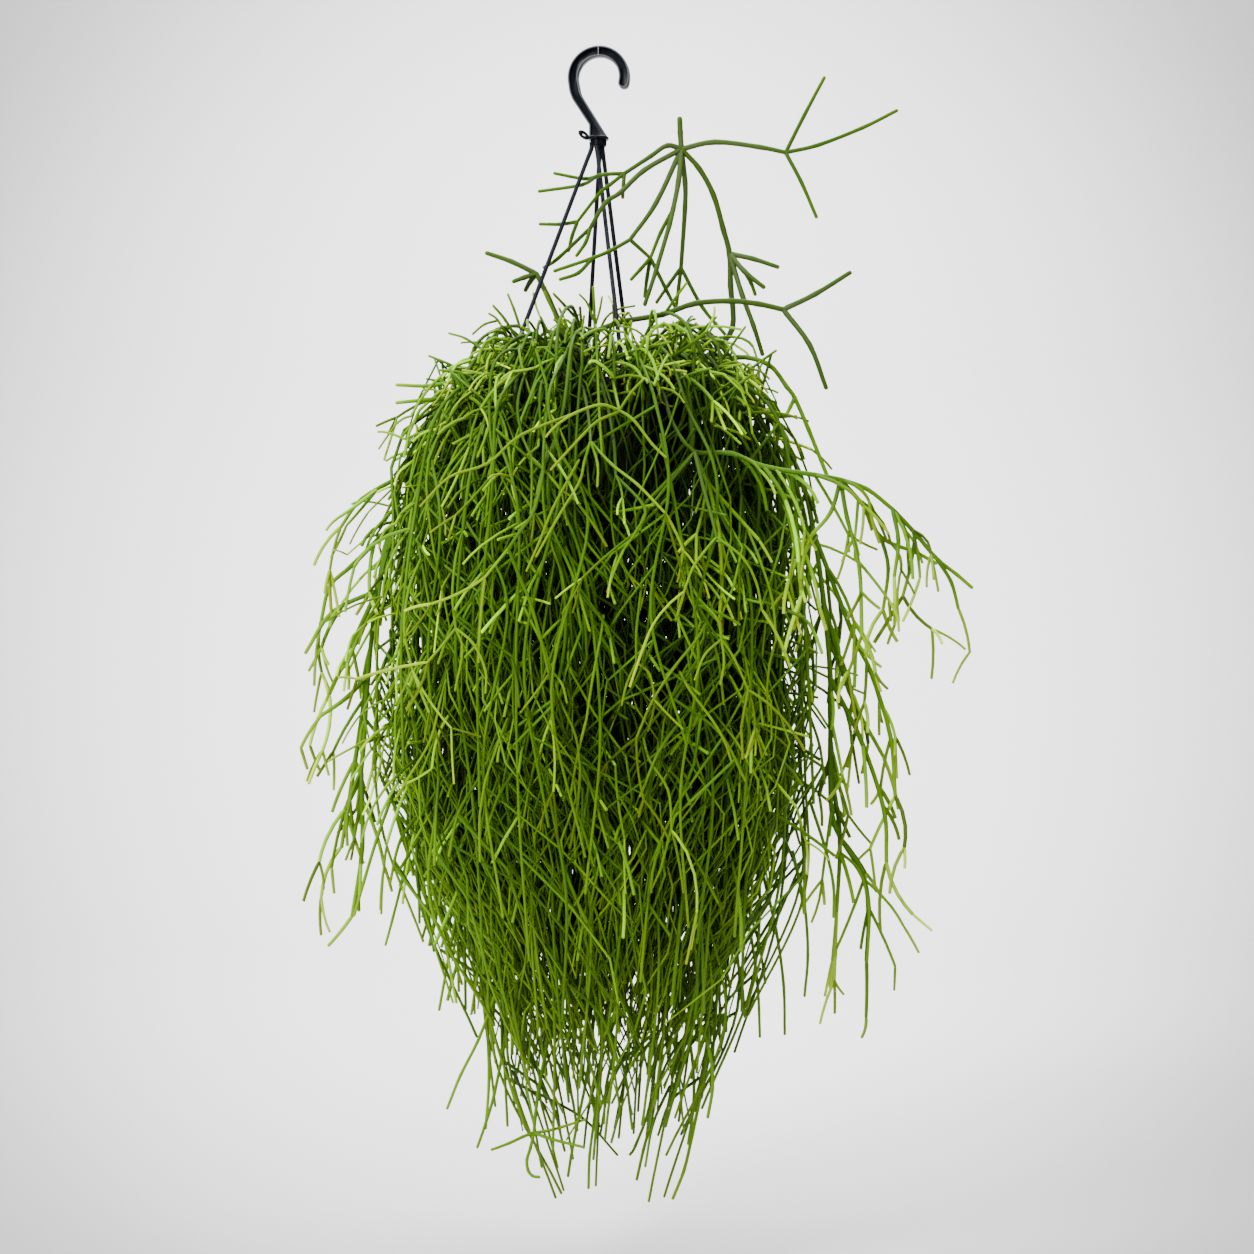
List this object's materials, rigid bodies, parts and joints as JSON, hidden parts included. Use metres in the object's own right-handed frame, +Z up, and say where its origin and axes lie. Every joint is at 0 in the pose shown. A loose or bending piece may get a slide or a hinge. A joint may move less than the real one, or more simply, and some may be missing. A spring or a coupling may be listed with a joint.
{
  "type": "mistletoe cactus in a hanging pot",
  "caption": "Hanging plant with thin, round, forking stems that rise from the soil of a hook-hung pot, arch over its rim and trail far below it.",
  "frame": {"origin": "where the hook bears on the rail or rod that it hangs from, on the underside of its crown", "axes": "+Z up, -Y towards the front of the picture, +X to its right"},
  "size_m": [0.5865, 0.381, 1.0349],
  "materials": {
    "hook_plastic": "black moulded plastic, satin, with a fine mould line",
    "strand_plastic": "black moulded plastic cord, satin",
    "pot_plastic": "black moulded plastic, dull",
    "potting_soil": "dark, moist, coarse potting mix",
    "stem_green": "smooth waxy green skin, grey-green where old, yellow-green at the tips"
  },
  "bodies": {
    "root": {"hook": "hook_plastic", "pot": "pot_plastic", "soil": "potting_soil", "strand_left": "strand_plastic", "strand_front": "strand_plastic", "strand_back": "strand_plastic", "strand_right": "strand_plastic", "tall_crown_stem": "stem_green", "left_crown_stem": "stem_green", "low_crown_stem": "stem_green", "right_arching_stem": "stem_green", "right_drooping_stem": "stem_green", "left_rim_stem": "stem_green", "left_flank_stem": "stem_green", "right_flank_stem": "stem_green", "trailing_stem_01": "stem_green", "trailing_stem_02": "stem_green", "trailing_stem_03": "stem_green", "trailing_stem_04": "stem_green", "trailing_stem_05": "stem_green", "trailing_stem_06": "stem_green", "trailing_stem_07": "stem_green", "trailing_stem_08": "stem_green", "trailing_stem_09": "stem_green", "trailing_stem_10": "stem_green", "trailing_stem_11": "stem_green", "trailing_stem_12": "stem_green", "trailing_stem_13": "stem_green", "trailing_stem_14": "stem_green", "trailing_stem_15": "stem_green", "trailing_stem_16": "stem_green", "trailing_stem_17": "stem_green", "trailing_stem_18": "stem_green", "trailing_stem_19": "stem_green", "trailing_stem_20": "stem_green", "trailing_stem_21": "stem_green", "trailing_stem_22": "stem_green", "trailing_stem_23": "stem_green", "trailing_stem_24": "stem_green", "trailing_stem_25": "stem_green", "trailing_stem_26": "stem_green", "trailing_stem_27": "stem_green", "trailing_stem_28": "stem_green", "trailing_stem_29": "stem_green", "trailing_stem_30": "stem_green", "trailing_stem_31": "stem_green", "trailing_stem_32": "stem_green", "trailing_stem_33": "stem_green", "trailing_stem_34": "stem_green", "trailing_stem_35": "stem_green", "trailing_stem_36": "stem_green"}
  },
  "joints": []
}
